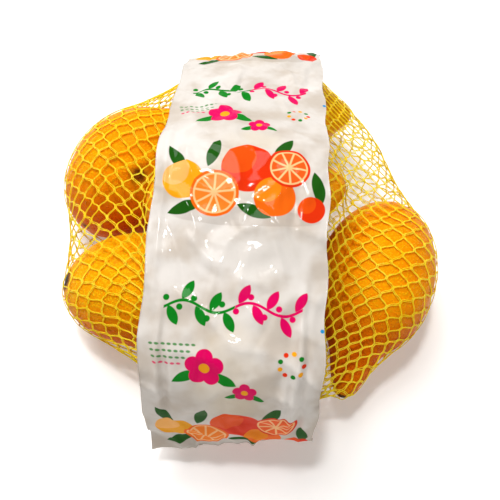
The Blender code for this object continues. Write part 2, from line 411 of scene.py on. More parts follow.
# Layers over a colour, from the lowest: the value that each fades with, the range of it over which it
# fades, its strength at the low and at the high end of that range, and its own colour
PEEL_LAYERS = (
    ("patches", 0.35, 0.68, 0.0, 1.0, (0.93, 0.400, 0.002)),
    ("tint", 0.0, 1.0, 0.0, 0.85, (0.90, 0.50, 0.004)),
    # Painted shade: darker and redder on the side of each lemon that faces down and to the front
    ("painted_shade", -0.05, 0.8, 0.0, 0.92, (0.53, 0.046, 0.0006)),
    # The oil pores' pattern: lighter middles, partly painted sparkle, and darker orange rims
    ("pores", 0.05, 0.35, 0.45, 0.0, (1.0, 0.50, 0.010)),
    ("pores", 0.30, 0.60, 0.0, 0.55, (0.80, 0.22, 0.001)),
    ("end", 0.5, 1.0, 0.0, 0.30, (0.60, 0.36, 0.006)),
    ("blemish", 0.08, 0.5, 0.0, 0.60, (0.46, 0.165, 0.006)),
    ("blemish", 0.40, 0.8, 0.0, 0.9, (0.15, 0.036, 0.004)),
    ("blemish", 1.0, 1.4, 0.0, 1.0, (0.016, 0.010, 0.005)),
    ("scar", 0.45, 0.75, 0.0, 1.0, (0.055, 0.030, 0.012)),
)
YARN_PATCHES = 60
YARN_FIBRES = 1900
YARN_BUMP = 0.00006
YARN_BUMP_STRENGTH = 0.6
YARN = (1.0, 0.70, 0.014)
YARN_LAYERS = (
    ("patches", 0.35, 0.65, 0.0, 1.0, (1.0, 0.80, 0.040)),
    ("fibres", 0.3, 0.7, 0.25, 0.0, (0.86, 0.50, 0.008)),
)


def peel_material():
    """Golden peel: oil pores whose lighter middles are partly painted sparkle, paler parts, painted shade
    that makes the side of each lemon facing down and to the front darker and redder, a brown stem scar and
    nipple tip, and blemishes.
    """
    n = Nodes("lemon_peel")
    place = n.place()
    patches = n.noise(place, PEEL_PATCHES, 3)
    pores = n.cells(place, PEEL_PORES)
    ragged = n.math("SUBTRACT", n.noise(place, RAGGED_SCALE, 4), 0.5)
    ragged = n.math("MULTIPLY", ragged, BLEMISH_RAGGED)
    values = {name: n.attribute(name) for name in ("tint", "painted_shade", "end", "blemish", "scar")}
    values["patches"] = patches
    values["pores"] = pores
    values["blemish"] = n.math("ADD", values["blemish"], n.math("MULTIPLY", ragged, values["blemish"]))
    values["scar"] = n.math("ADD", values["scar"], n.math("MULTIPLY", ragged, SCAR_RAGGED))
    colour = n.layered(PEEL, PEEL_LAYERS, values)
    dents = n.math("MULTIPLY", n.noise(place, PEEL_DENTS, 2), PEEL_DENT_WEIGHT)
    n.bump(n.math("SUBTRACT", dents, n.ramp(pores, 0.0, 0.5)), PEEL_BUMP)
    n.set(Base_Color=colour, Roughness=n.ramp(patches, 0.3, 0.7, 0.30, 0.40), Specular_IOR_Level=0.04)
    n.set(Specular_Tint=(1.0, 0.70, 0.12, 1.0))
    n.set(Subsurface_Weight=0.32, Subsurface_Radius=(0.011, 0.0022, 0.0003), Subsurface_Scale=1.0)
    return n.material


def yarn_material():
    """Bright yellow plastic yarn, slightly see-through and shiny, duller along some fibres."""
    n = Nodes("yellow_yarn")
    place = n.place()
    fibres = n.noise(place, YARN_FIBRES, 2)
    values = {"patches": n.noise(place, YARN_PATCHES, 2), "fibres": fibres}
    colour = n.layered(YARN, YARN_LAYERS, values)
    n.bump(fibres, YARN_BUMP, YARN_BUMP_STRENGTH)
    n.set(Base_Color=colour, Roughness=n.ramp(fibres, 0.3, 0.7, 0.30, 0.45), Specular_IOR_Level=0.10)
    n.set(Specular_Tint=(1.0, 0.88, 0.35, 1.0))
    n.set(Subsurface_Weight=0.3, Subsurface_Radius=(0.0012, 0.0009, 0.0001), Subsurface_Scale=1.0)
    return n.material


# ---------------------------------------------------------------- lemons

LEMON_ROWS = 92
LEMON_COLUMNS = 112
# Half the share by which the rows are closer at a lemon's ends than on average
ROWS_TO_ENDS = 0.10
# The stem's dimple and the lobed button in it: angles from the stem, and heights
STEM_ANGLE = 0.13
STEM_DIMPLE = 0.0011
STEM_BUTTON_ANGLE = 0.075
STEM_BUTTON = 0.0010
STEM_LOBES = 5
STEM_LOBE_DEPTH = 0.22
# Furrows that run to both ends, up to the angles where they go flat
FURROW_DEPTH = 0.00030
FURROW_STEM_ANGLE = 0.42
FURROW_NIPPLE_ANGLE = 0.36
FURROW_NIPPLE_SHARE = 0.8
FLAT_STEM_ANGLE = 0.06
FLAT_NIPPLE_ANGLE = 0.05
# The skin's slow waves: how many, and their least and most per metre
SKIN_WAVE_HEIGHT = 0.00022
SKIN_WAVES = (9, 20, 60)
LEMON_SETBACK = 0.00025
# Angles within which the ends are greener and the scars brown
END_NIPPLE_ANGLE = 0.17
END_STEM_ANGLE = 0.24
END_STEM_SHARE = 0.8
SCAR_NIPPLE_ANGLE = 0.045
SCAR_BUTTON_SHARE = 1.15
# Marks on the peel: the lemon, the way to the mark from its middle, the mark's radius and its strength
BLEMISHES = (
    (0, (0.33, -0.54, 0.78), 0.0046, 0.95),
    (0, (0.33, -0.36, 0.87), 0.0056, 0.18),
    (0, (-0.09, -0.30, 0.95), 0.0030, 0.45),
    (0, (-0.60, -0.78, -0.17), 0.0024, 1.0),
    (1, (-0.96, 0.02, 0.28), 0.0034, 1.8),
    (1, (-0.30, 0.10, 0.95), 0.0028, 0.35),
    (1, (0.40, -0.55, 0.73), 0.0020, 0.45),
    (2, (0.55, 0.30, 0.78), 0.0022, 0.30),
    (2, (0.80, -0.40, 0.45), 0.0030, 0.35),
    (3, (0.60, 0.55, 0.58), 0.0040, 0.35),
    (3, (0.97, 0.02, 0.26), 0.0090, 0.50),
    (4, (0.75, -0.20, 0.62), 0.0024, 0.40),
)
# How light a yellow each lemon is, and the way that the painted shade faces: every lemon is painted darker
# and redder on that side
TINTS = (0.25, 0.75, 0.10, 1.0, 0.3, 0.2)
PAINTED_SHADE_WAY = (-0.15, -0.80, -0.55)
# The lowest that the peel comes, with the net and the film under it
LEMON_FLOOR = 0.0008


def wave(random, places, count, low, high):
    """A smooth random field over places, mostly -1 to 1: a sum of plane waves, low to high per metre."""
    total = np.zeros(places.shape[:-1])
    for _ in range(count):
        way = unit(random.normal(size=places.shape[-1]))
        pace = 2 * math.pi * random.uniform(low, high)
        total += np.sin(pace * (places @ way) + random.uniform(0, 2 * math.pi))
    return total / math.sqrt(count)


def lemon_ways(axis, angle, turn):
    """Unit vectors from a lemon's middle, at these angles from its axis and turns round it."""
    side = unit(np.cross((0, 0, 1) if abs(axis[2]) < 0.9 else (1, 0, 0), axis))
    third = np.cross(axis, side)
    outward = np.cos(turn)[..., None] * side + np.sin(turn)[..., None] * third
    return np.cos(angle)[..., None] * axis + np.sin(angle)[..., None] * outward


def marks(index, ways, radius):
    """How strong the blemishes of one lemon are in these directions from its middle."""
    blemish = np.zeros(ways.shape[:-1])
    for lemon, mark_way, mark_radius, strength in BLEMISHES:
        if lemon == index:
            apart = np.linalg.norm(ways - unit(mark_way), axis=-1) * radius
            blemish = np.maximum(blemish, strength * bell(apart, mark_radius))
    return blemish


def lemon_mesh(index):
    """Points of one lemon, and the values that its material reads at each of them."""
    middle, nipple_way, half_length, radius, nipple = LEMONS[index]
    random = np.random.default_rng(40 + index)
    share = np.linspace(0, 1, LEMON_ROWS)[:, None]
    angle = math.pi * (share - ROWS_TO_ENDS * np.sin(2 * math.pi * share) / math.pi)
    from_stem = math.pi - angle
    turn = np.linspace(0, 2 * math.pi, LEMON_COLUMNS, endpoint=False)[None, :]
    ways = lemon_ways(unit(nipple_way), angle, turn)
    reach = lemon_reach(np.cos(angle) + 0 * turn, half_length, radius, nipple)
    reach = reach - STEM_DIMPLE * bell(from_stem, STEM_ANGLE)
    lobes = 1 + STEM_LOBE_DEPTH * np.cos(STEM_LOBES * turn + random.uniform(0, 6))
    reach = reach + STEM_BUTTON * bell(from_stem, STEM_BUTTON_ANGLE * lobes, 4)
    furrows = np.cos(random.integers(7, 10) * turn + random.uniform(0, 6))
    near_end = bell(from_stem, FURROW_STEM_ANGLE) + FURROW_NIPPLE_SHARE * bell(angle, FURROW_NIPPLE_ANGLE)
    calm = 1 - bell(from_stem, FLAT_STEM_ANGLE) - bell(angle, FLAT_NIPPLE_ANGLE)
    reach = reach + FURROW_DEPTH * furrows * near_end * calm
    reach = reach + SKIN_WAVE_HEIGHT * wave(random, ways * radius, *SKIN_WAVES) - LEMON_SETBACK
    points = np.array(middle) + ways * reach[..., None]
    points[..., 2] = np.maximum(points[..., 2], LEMON_FLOOR)
    end = bell(angle, END_NIPPLE_ANGLE) + END_STEM_SHARE * bell(from_stem, END_STEM_ANGLE)
    stem_scar = bell(from_stem, SCAR_BUTTON_SHARE * STEM_BUTTON_ANGLE * lobes, 4)
    return points, {
        "end": end + 0 * turn,
        "scar": np.maximum(stem_scar, bell(angle, SCAR_NIPPLE_ANGLE, 4)),
        "tint": np.full(points.shape[:-1], TINTS[index]),
        "blemish": marks(index, ways, radius),
        # Painted shade: how far the skin faces the way of the painted shade
        "painted_shade": ways @ unit(PAINTED_SHADE_WAY),
    }


def add_lemons(material):
    lemons = [lemon_mesh(index) for index in range(len(LEMONS))]
    points = np.concatenate([skin.reshape(-1, 3) for skin, _ in lemons])
    faces = grid_faces(LEMON_ROWS, LEMON_COLUMNS, round_columns=True)[:, ::-1]
    size = LEMON_ROWS * LEMON_COLUMNS
    faces = np.concatenate([faces + size * k for k in range(len(lemons))])
    made = add_mesh("lemons", points, faces, material, "net_bag")
    for name in ("end", "scar", "tint", "blemish", "painted_shade"):
        add_values(made, name, np.concatenate([values[name].ravel() for _, values in lemons]))


# ---------------------------------------------------------------- the net

CELLS_AROUND = 46
HALF_CELLS_ALONG = 54
FILAMENTS = 3
YARN_STEPS = 5
YARN_SIDES = 4
YARN_RADIUS = 0.00018
YARN_SPREAD = 0.00036
YARN_FLATNESS = 0.55
YARN_LOOSENESS = 0.45
YARN_SLACK_PACE = 1.7
YARN_TWISTS = 0.8
YARN_SETBACK = 0.00035
YARN_OFF_SKIN = 0.00055
KNOT_SHARE = 0.24
KNOT_TOUCH = 0.90
KNOT_JITTER = 0.17
NET_PIECES = 6
# The share of a step of the tube's grid over which its ways are read
SMALL_STEP = 0.05
# A way that no yarn runs along
YARN_HELPER = (0.13, 0.31, 0.94)
TINY = 1e-12


def along_ways(lines):
    """The unit vector along each line (lines, steps, 3) at each of its steps."""
    way = np.gradient(lines, axis=1)
    return way / np.maximum(np.linalg.norm(way, axis=-1, keepdims=True), TINY)


def spline_weights(t):
    """How much each of four points in a row counts, at t from 0 to 1 between the middle two."""
    return np.stack((-0.5 * t**3 + t**2 - 0.5 * t, 1.5 * t**3 - 2.5 * t**2 + 1,
                     -1.5 * t**3 + 2 * t**2 + 0.5 * t, 0.5 * t**3 - 0.5 * t**2))


def on_tube(around, along):
    """Points of the evenly spaced tube at these places, in grid steps, read smoothly from its grid."""
    along = np.clip(along, 0, NET_ALONG)
    column = np.floor(around).astype(int)
    row = np.minimum(np.floor(along).astype(int), NET_ALONG - 1)
    around_weights, along_weights = spline_weights(around - column), spline_weights(along - row)
    total = np.zeros((*around.shape, 3))
    for i in range(4):
        rows = np.clip(row + i - 1, 0, NET_ALONG)
        for j in range(4):
            weight = along_weights[i] * around_weights[j]
            total += weight[..., None] * net_tube[rows, (column + j - 1) % NET_AROUND]
    return total


def tube_outward(around, along):
    """The outward way at these places of the tube."""
    round_way = on_tube(around + SMALL_STEP, along) - on_tube(around - SMALL_STEP, along)
    long_way = on_tube(around, along + SMALL_STEP) - on_tube(around, along - SMALL_STEP)
    out = np.cross(long_way, round_way)
    return out / np.maximum(np.linalg.norm(out, axis=-1, keepdims=True), TINY)


def zigzag(steps):
    """1 at each even step and -1 at each odd one, staying there a while, as knitted columns do at a knot."""
    straight = 2 * np.abs(steps % 2 - 1) - 1
    return np.sin(math.pi / 2 * np.clip(straight / (1 - KNOT_SHARE), -1, 1))


def knot_jitter(random, column, steps):
    """How far each knot is off its even place, read along each column. A knot's two columns share it."""
    columns = 2 * CELLS_AROUND
    table = KNOT_JITTER * random.uniform(-1, 1, (HALF_CELLS_ALONG + 2, columns))
    before = np.floor(steps).astype(int)
    share = steps - before
    share = share * share * (3 - 2 * share)
    first, second = (table[row, (column - (row + column) % 2) % columns] for row in (before, before + 1))
    return first + share * (second - first)


def yarn_tube(lines, radius):
    """Thin tubes along lines (lines, steps, 3): points and faces."""
    way = along_ways(lines)
    first = np.cross(way, YARN_HELPER)
    first /= np.maximum(np.linalg.norm(first, axis=-1, keepdims=True), TINY)
    second = np.cross(way, first)
    turn = np.linspace(0, 2 * math.pi, YARN_SIDES, endpoint=False)
    ring = np.cos(turn)[:, None] * first[:, :, None] + np.sin(turn)[:, None] * second[:, :, None]
    points = lines[:, :, None] + radius * ring
    count, steps = lines.shape[:2]
    faces = grid_faces(steps, YARN_SIDES, round_columns=True)
    return points.reshape(-1, 3), np.concatenate([faces + k * steps * YARN_SIDES for k in range(count)])


def net_lines():
    """The centre lines of all filaments: a loose twist of them zigzags in each knitted column."""
    columns = 2 * CELLS_AROUND
    random = np.random.default_rng(7)
    steps = np.linspace(0, HALF_CELLS_ALONG, HALF_CELLS_ALONG * YARN_STEPS + 1)[None, :]
    column = np.arange(columns)[:, None]
    around = column + 0.5 * KNOT_TOUCH * zigzag(steps + column) + knot_jitter(random, column, steps)
    around = around * NET_AROUND / columns
    along = (steps + knot_jitter(random, column, steps)) * NET_ALONG / HALF_CELLS_ALONG
    point, out = on_tube(around, along), tube_outward(around, along)
    side = np.cross(along_ways(point), out)
    twist = math.pi * YARN_TWISTS * steps + 2 * math.pi * random.random((columns, 1))
    slack = np.sin(steps * YARN_SLACK_PACE + 2 * math.pi * random.random((columns, 1)))
    spread = YARN_SPREAD * (1 + YARN_LOOSENESS * slack)[..., None]
    lines = []
    for number in range(FILAMENTS):
        turn = twist + 2 * math.pi * number / FILAMENTS
        shift = side * np.cos(turn)[..., None] + YARN_FLATNESS * out * np.sin(turn)[..., None]
        lines.append(point - YARN_SETBACK * out + spread * shift)
    return np.concatenate(lines)


def add_net(material):
    """The yarn, kept off the lemons' skin and above the floor, in NET_PIECES meshes."""
    lines = net_lines()
    push_out(lines, YARN_OFF_SKIN, LEMONS)
    lines[..., 2] = np.maximum(lines[..., 2], YARN_RADIUS)
    for number, part in enumerate(np.array_split(lines, NET_PIECES)):
        points, faces = yarn_tube(part, YARN_RADIUS)
        add_mesh(f"net_yarn_{number + 1}", points, faces, material, "net_bag")


# ---------------------------------------------------------------- the film band

FILM_ACROSS = 97
FILM_ALONG = 441
FILM_THICK = 0.00012
FILM_SMOOTHINGS = 12
# The long edges droop over the top: how far, and how far from the seal and from the floor that begins
DROOP_MOST = 0.0025
DROOP_POWER = 2.5
DROOP_FROM_SEAL = 0.012
DROOP_SEAL_FADE = 0.03
DROOP_FROM_FLOOR = 0.035
DROOP_FLOOR_FADE = 0.02
# The long edges wander, right and left: how far, at what pace along the band, and from what phase
EDGE_WAVES = ((0.0006, 190, 1.3), (0.0005, 150, 0.0))
EDGE_POWER = 3
SEAL_LENGTH = 0.0095
# Within this distance of the fruit's skin the film takes on its colour: a painted tint of the fruit's light
# showing through the film
NEAR_FRUIT = 0.0030
# The film's coat weight, by height: the folds low on the bag shine less
GLOSS_MOST = 0.21
GLOSS_LEAST = 0.03
GLOSS_FROM = 0.008
GLOSS_RISE = 0.040
# Wrinkles lie lower near the floor
RELIEF_FULL_FROM = 0.012
RELIEF_LEAST = 0.15
# Waves in the film: how high, how many are summed, and the least and the most per metre
SOFT_HEIGHT = 0.00045
SOFT_WAVES = (8, 8, 26)
FOLD_HEIGHT = 0.0011
FOLD_WAVES = (7, 14, 44)
FINE_HEIGHT = 0.00024
FINE_WAVES = (14, 45, 115)
# Short creases
CREASES = 130
CREASE_TURN = 0.55
CREASE_ACROSS = 0.036
CREASE_FROM_TIP = 0.02
CREASE_CURVE = 12
CREASE_HEIGHT = 0.00075
CREASE_LENGTH = (0.006, 0.020)
CREASE_WIDTH = (0.0011, 0.0024)
# Puckers that fan out from the crimp
PUCKERS = 15
PUCKER_ACROSS = 0.034
PUCKER_LEAN = 0.35
PUCKER_WIDTH = (0.0009, 0.0022)
PUCKER_SPREAD = 0.05
PUCKER_LENGTH = (0.010, 0.030)
PUCKER_HEIGHT = (-0.0007, 0.0012)
# Long creases: place across the band, drift, start and end along it, half width and height
LONG_CREASES = (
    (-0.0290, 0.02, 0.045, 0.085, 0.0014, 0.0017),
    (-0.0255, -0.03, 0.030, 0.075, 0.0018, -0.0013),
    (0.0240, 0.05, 0.020, 0.090, 0.0016, 0.0018),
    (0.0285, 0.02, 0.015, 0.080, 0.0014, -0.0012),
    (0.0200, 0.08, 0.030, 0.070, 0.0018, 0.0010),
    (-0.0320, 0.00, 0.095, 0.170, 0.0016, 0.0010),
)
LONG_CREASE_FADE_IN = 0.004
LONG_CREASE_FADE_OUT = 0.006


def film_path():
    """The film's middle line: places along the band and heights, from the crimped tip round to it again."""
    loop = taut_loop(tube)
    ring = loop + (BAND_GAP + BAND_THICK / 2) * left_ways(loop)
    ring[0] = ring[-1] = SEAL_ROOT
    path = np.vstack((SEAL_TIP, ring, SEAL_TIP))
    reach = np.concatenate(((0,), np.cumsum(np.hypot(*np.diff(path, axis=0).T))))
    even = np.linspace(0, reach[-1], FILM_ALONG)
    fine = np.stack([np.interp(even, reach, path[:, axis]) for axis in range(2)], axis=-1)
    for _ in range(FILM_SMOOTHINGS):
        fine[1:-1] = (fine[:-2] + 2 * fine[1:-1] + fine[2:]) / 4
    return fine, even


def creases(random, across, reach, total):
    """Short soft ridges and furrows, most of them lying nearly along the band."""
    lifted = np.zeros(np.broadcast(across, reach).shape)
    for _ in range(CREASES):
        turn = random.normal(0, CREASE_TURN)
        aside = across - random.uniform(-CREASE_ACROSS, CREASE_ACROSS)
        onward = reach - random.uniform(CREASE_FROM_TIP, total - CREASE_FROM_TIP)
        along = onward * math.cos(turn) + aside * math.sin(turn)
        off = aside * math.cos(turn) - onward * math.sin(turn)
        off = off + random.uniform(-CREASE_CURVE, CREASE_CURVE) * along**2
        height = random.uniform(0.5, 1.0) * random.choice((-CREASE_HEIGHT, CREASE_HEIGHT))
        length = random.uniform(*CREASE_LENGTH)
        lifted += height * bell(off, random.uniform(*CREASE_WIDTH)) * bell(along, length, 4)
    return lifted


def puckers(random, across, to_tip):
    """Ridges and furrows that fan out from the crimp and die away, one by one."""
    for _ in range(PUCKERS):
        start = random.uniform(-PUCKER_ACROSS, PUCKER_ACROSS)
        lean = random.uniform(-PUCKER_LEAN, PUCKER_LEAN)
        width = random.uniform(*PUCKER_WIDTH)
        length = random.uniform(*PUCKER_LENGTH)
        height = random.uniform(*PUCKER_HEIGHT)
        off = across - (start + lean * to_tip)
        yield height * (bell(off, width + PUCKER_SPREAD * to_tip) * bell(to_tip, length))


def long_creases(across, reach):
    """The creases of LONG_CREASES, one by one. Each begins and ends softly."""
    for centre, drift, start, end, width, height in LONG_CREASES:
        before = 1 + np.exp(-(reach - start) / LONG_CREASE_FADE_IN)
        beyond = 1 + np.exp((reach - end) / LONG_CREASE_FADE_OUT)
        off = across - (centre + drift * (reach - start))
        yield height * (1 / before / beyond) * bell(off, width)


def film_relief(across, reach, total):
    """How far wrinkles lift the film, in metres, at places across it and along it from the crimped tip."""
    random = np.random.default_rng(11)
    places = np.stack(np.broadcast_arrays(across, reach), axis=-1)
    relief = SOFT_HEIGHT * wave(random, places, *SOFT_WAVES)
    folds = np.abs(wave(random, places, *FOLD_WAVES))
    relief = relief + FOLD_HEIGHT * np.clip(1 - folds, 0, 1) ** 2
    relief = relief + FINE_HEIGHT * wave(random, places, *FINE_WAVES)
    relief = relief + creases(random, across, reach, total)
    to_tip = np.minimum(reach, total - reach)
    for lifted in (*puckers(random, across, to_tip), *long_creases(across, reach)):
        relief = relief + lifted
    return relief


def film_grid():
    """Points of the film's middle surface, rows along it, with the place of each in millimetres."""
    path, reach = film_path()
    across = BAND_WIDTH * np.linspace(-0.5, 0.5, FILM_ACROSS)[None, :]
    ways = left_ways(path)
    height = path[:, 1:]
    total = reach[-1]
    reach = reach[:, None]
    to_tip = np.minimum(reach, total - reach)
    share = np.abs(across) / (BAND_WIDTH / 2)
    off_seal = np.clip((to_tip - DROOP_FROM_SEAL) / DROOP_SEAL_FADE, 0, 1)
    off_floor = np.clip((height - DROOP_FROM_FLOOR) / DROOP_FLOOR_FADE, 0, 1)
    droop = DROOP_MOST * share**DROOP_POWER * off_seal * off_floor
    relief = film_relief(across, reach, total) * np.clip(height / RELIEF_FULL_FROM, RELIEF_LEAST, 1)
    slant = SEAL_SLANT * np.clip(1 - to_tip / SEAL_LENGTH, 0, 1) * across
    lift = relief - droop
    wander = 0
    for side, (most, pace, phase) in zip((1, -1), EDGE_WAVES):
        wander = wander + most * np.sin(reach * pace + phase) * (side * across > 0)
    points = band_point(across + wander * share**EDGE_POWER, path[:, :1] + slant + lift * ways[:, :1],
                        height + slant + lift * ways[:, 1:])
    places = np.stack(np.broadcast_arrays(across * 1000, reach * 1000, 0 * across), axis=-1)
    return points, places


def off_fruit(points):
    """How far each point is off the nearest lemon's skin, along the line to that lemon's middle."""
    nearest = np.full(len(points), np.inf)
    for middle, nipple_way, half_length, radius, nipple in LEMONS:
        offset = points - np.array(middle)
        distance = np.linalg.norm(offset, axis=-1)
        reach = lemon_reach(offset @ unit(nipple_way) / distance, half_length, radius, nipple)
        nearest = np.minimum(nearest, distance - reach)
    return np.maximum(nearest, 0)


def grid_normals(points):
    """The unit vector out of a grid of points at each of them."""
    normals = np.cross(np.gradient(points, axis=1), np.gradient(points, axis=0))
    return normals / np.linalg.norm(normals, axis=-1, keepdims=True)


def add_film(material):
    """The film as a closed sheet: its outer side, its inner side and the narrow edge between them."""
    points, places = film_grid()
    out = grid_normals(points)
    rows, columns = points.shape[:2]
    size = rows * columns
    both = np.concatenate([(points + side * FILM_THICK / 2 * out).reshape(-1, 3) for side in (1, -1)])
    top = grid_faces(rows, columns)[:, ::-1]
    rim = np.concatenate((np.arange(columns), columns * np.arange(1, rows) + columns - 1,
                          size - 2 - np.arange(columns - 1), columns * np.arange(rows - 2, 0, -1)))
    after = np.roll(rim, -1)
    edge = np.stack((rim, after, after + size, rim + size), axis=-1)
    faces = np.concatenate((top, top[:, ::-1] + size, edge))
    made = add_mesh("film_band", both, faces, material, "label_band")
    add_values(made, "place", np.concatenate((places.reshape(-1, 3), places.reshape(-1, 3))))
    near = bell(off_fruit(points.reshape(-1, 3)), NEAR_FRUIT)
    add_values(made, "near_fruit", np.concatenate((near, near)))
    add_values(made, "inside", np.repeat((0.0, 1.0), size))
    rise = np.clip((points[..., 2].ravel() - GLOSS_FROM) / GLOSS_RISE, 0, 1)
    gloss = GLOSS_LEAST + (GLOSS_MOST - GLOSS_LEAST) * rise
    add_values(made, "gloss", np.concatenate((gloss, gloss)))


# The print, in millimetres: its repeat along the film, its start, the softness of its edges, and its motifs
PRINT_REPEAT = 120.0
PRINT_START = 4.0
PRINT_SOFT = 0.2
VINE_MIDDLE = 91.0
VINE_WAVE = 26
VINE_SWING = 2.2
VINE_END = 27.0
VINE_LEAVES = 10
PETALS = 5
RING_MIDDLE = (23.5, 70.0)
RING_RADIUS = 4.6
RING_DOTS = 9
GREEN = (0.004, 0.19, 0.012)
LEAF = (0.012, 0.085, 0.006)
MAGENTA = (0.66, 0.002, 0.10)
YELLOW = (0.80, 0.33, 0.008)
ORANGE = (0.80, 0.125, 0.006)
RED = (0.68, 0.030, 0.004)
PALE = (0.92, 0.50, 0.22)
BLUE = (0.02, 0.25, 0.55)
SHADE = (0.33, 0.27, 0.22)
ORANGE_FLESH = (0.86, 0.20, 0.02)
RED_FLESH = (0.82, 0.10, 0.012)
# The garland's leaves: place across and along, and turn in degrees
GARLAND_LEAVES = (
    (-27, 33, 120),
    (-12, 36, 75),
    (6, 10.5, 160),
    (17, 40, 60),
    (31.5, 22, 100),
    (-22, 11, 200),
)
# The unprinted film: cloudy, duller in patches, and faintly yellow on the fruit, where the fruit's light
# showing through the film is painted
PAPER_CLOUDS = 22
PAPER_SHADES = 55
PAPER = (0.585, 0.545, 0.50)
PAPER_LAYERS = (
    ("clouds", 0.3, 0.7, 0.0, 1.0, (0.70, 0.66, 0.62)),
    ("shades", 0.40, 0.66, 0.0, 0.60, (0.44, 0.36, 0.28)),
    # Painted light: the fruit's yellow showing through the film
    ("near_fruit", 0.0, 1.0, 0.0, 0.5, (0.62, 0.51, 0.35)),
)
# How much of the print the film's inside hides
INSIDE_PLAIN = 0.80
FILM_PRESSED = 150
FILM_CRINKLE = 330
FILM_CRINKLE_WEIGHT = 0.22
FILM_BUMP = 0.0005


class Print:
    """Plain printed shapes on the film, in millimetres across it and along its repeat."""

    def __init__(self, nodes, paper):
        self.n = nodes
        across, along, _ = nodes.split(nodes.attribute("place", "Vector"))
        self.x = across
        self.y = nodes.math("WRAP", nodes.math("ADD", along, PRINT_START), PRINT_REPEAT, 0.0)
        self.colour = paper

    def turned(self, x, y, turn):
        """The place across and along, seen from (x, y) and turned by this many degrees."""
        n = self.n
        cosine, sine = math.cos(math.radians(turn)), math.sin(math.radians(turn))
        dx, dy = n.math("SUBTRACT", self.x, x), n.math("SUBTRACT", self.y, y)
        across = n.math("ADD", n.math("MULTIPLY", dx, cosine), n.math("MULTIPLY", dy, sine))
        along = n.math("SUBTRACT", n.math("MULTIPLY", dy, cosine), n.math("MULTIPLY", dx, sine))
        return across, along

    def length(self, across, along):
        n = self.n
        squares = n.math("ADD", n.math("MULTIPLY", across, across), n.math("MULTIPLY", along, along))
        return n.math("SQRT", squares)

    def oval(self, x, y, half_width, half_height, turn=0.0):
        n = self.n
        across, along = self.turned(x, y, turn)
        reach = self.length(n.math("DIVIDE", across, half_width), n.math("DIVIDE", along, half_height))
        soft = PRINT_SOFT / min(half_width, half_height)
        return n.ramp(reach, 1 - soft, 1 + soft, 1.0, 0.0)

    def disc(self, x, y, radius):
        return self.oval(x, y, radius, radius)

    def both(self, first, second):
        return self.n.math("MULTIPLY", first, second)

    def leaf(self, x, y, length, width, turn):
        """A pointed leaf: where two round discs overlap."""
        radius = (length**2 + width**2) / (4 * width)
        offset = radius - width / 2
        sine, cosine = math.sin(math.radians(turn)), math.cos(math.radians(turn))
        first = self.disc(x - offset * sine, y + offset * cosine, radius)
        second = self.disc(x + offset * sine, y - offset * cosine, radius)
        return self.both(first, second)

    def spokes(self, x, y, count, turn, gap):
        """Everywhere but the thin lines that part a round slice into its wedges."""
        n = self.n
        across, along = self.turned(x, y, turn)
        lap = n.math("MULTIPLY", n.math("ARCTAN2", along, across), count / (2 * math.pi))
        wedge = n.math("PINGPONG", lap, 0.5)
        reach = self.length(across, along)
        off_line = n.math("MULTIPLY", n.math("MULTIPLY", wedge, reach), 2 * math.pi / count)
        return n.ramp(off_line, gap, gap + 0.35)

    def ink(self, mask, colour, amount=1.0):
        """Prints the colour where the mask is 1."""
        mask = self.n.math("MULTIPLY", mask, amount) if amount < 1 else mask
        self.colour = self.n.mix(mask, self.colour, colour)


def draw_slice(p, x, y, radius, turn, rind, flesh):
    """A round slice: rind, pith and wedges."""
    p.ink(p.disc(x, y, radius), rind)
    p.ink(p.disc(x, y, radius * 0.88), PALE)
    wedges = p.both(p.disc(x, y, radius * 0.80), p.spokes(x, y, 9, turn, 0.25))
    p.ink(wedges, flesh)
    p.ink(p.disc(x, y, radius * 0.12), PALE)


def draw_ball(p, x, y, radius, colour, light):
    """A plain ball with one soft light side."""
    ball = p.disc(x, y, radius)
    p.ink(ball, colour)
    p.ink(p.both(ball, p.disc(x - radius * 0.45, y + radius * 0.45, radius * 0.75)), light, 0.45)


def draw_garland(p):
    """Slices, balls and leaves in a group from edge to edge, over a soft shade."""
    p.ink(p.oval(3, 8.0, 30, 4.0), SHADE, 0.30)
    for x, y, turn in GARLAND_LEAVES:
        p.ink(p.leaf(x, y, 15, 5.2, turn), LEAF)
    draw_ball(p, 2.5, 29.5, 11.0, RED, ORANGE)
    draw_ball(p, -24.0, 23.0, 8.5, YELLOW, PALE)
    draw_ball(p, 14.0, 17.0, 8.5, ORANGE, YELLOW)
    draw_slice(p, -10.5, 17.5, 10.0, 10, ORANGE, ORANGE_FLESH)
    draw_slice(p, 19.5, 30.5, 9.0, 35, RED, RED_FLESH)
    draw_ball(p, 29.0, 12.5, 5.5, RED, ORANGE)


def draw_vine(p):
    """A wavy stem with leaves in pairs, green on one half and magenta on the other."""
    n = p.n
    pace = 2 * math.pi / VINE_WAVE
    swing = n.math("MULTIPLY", n.math("SINE", n.math("MULTIPLY", p.x, pace)), VINE_SWING)
    from_stem = n.math("ABSOLUTE", n.math("SUBTRACT", n.math("SUBTRACT", p.y, VINE_MIDDLE), swing))
    within = n.ramp(n.math("ABSOLUTE", p.x), VINE_END, VINE_END + 0.5, 1.0, 0.0)
    stem = p.both(n.ramp(from_stem, 0.45, 0.75, 1.0, 0.0), within)
    p.ink(p.both(stem, n.ramp(p.x, 0.5, 1.0, 1.0, 0.0)), GREEN)
    p.ink(p.both(stem, n.ramp(p.x, 0.5, 1.0)), MAGENTA)
    for k in range(VINE_LEAVES):
        x = -25 + 50 * k / (VINE_LEAVES - 1)
        y = VINE_MIDDLE + VINE_SWING * math.sin(pace * x)
        side = 1 if k % 2 else -1
        colour = GREEN if k < VINE_LEAVES / 2 else MAGENTA
        p.ink(p.leaf(x + 1.4, y + side * 4.2, 8.6, 3.9, side * 62), colour)
        p.ink(p.disc(x - 1.6, y - side * 2.6, 1.25), colour)


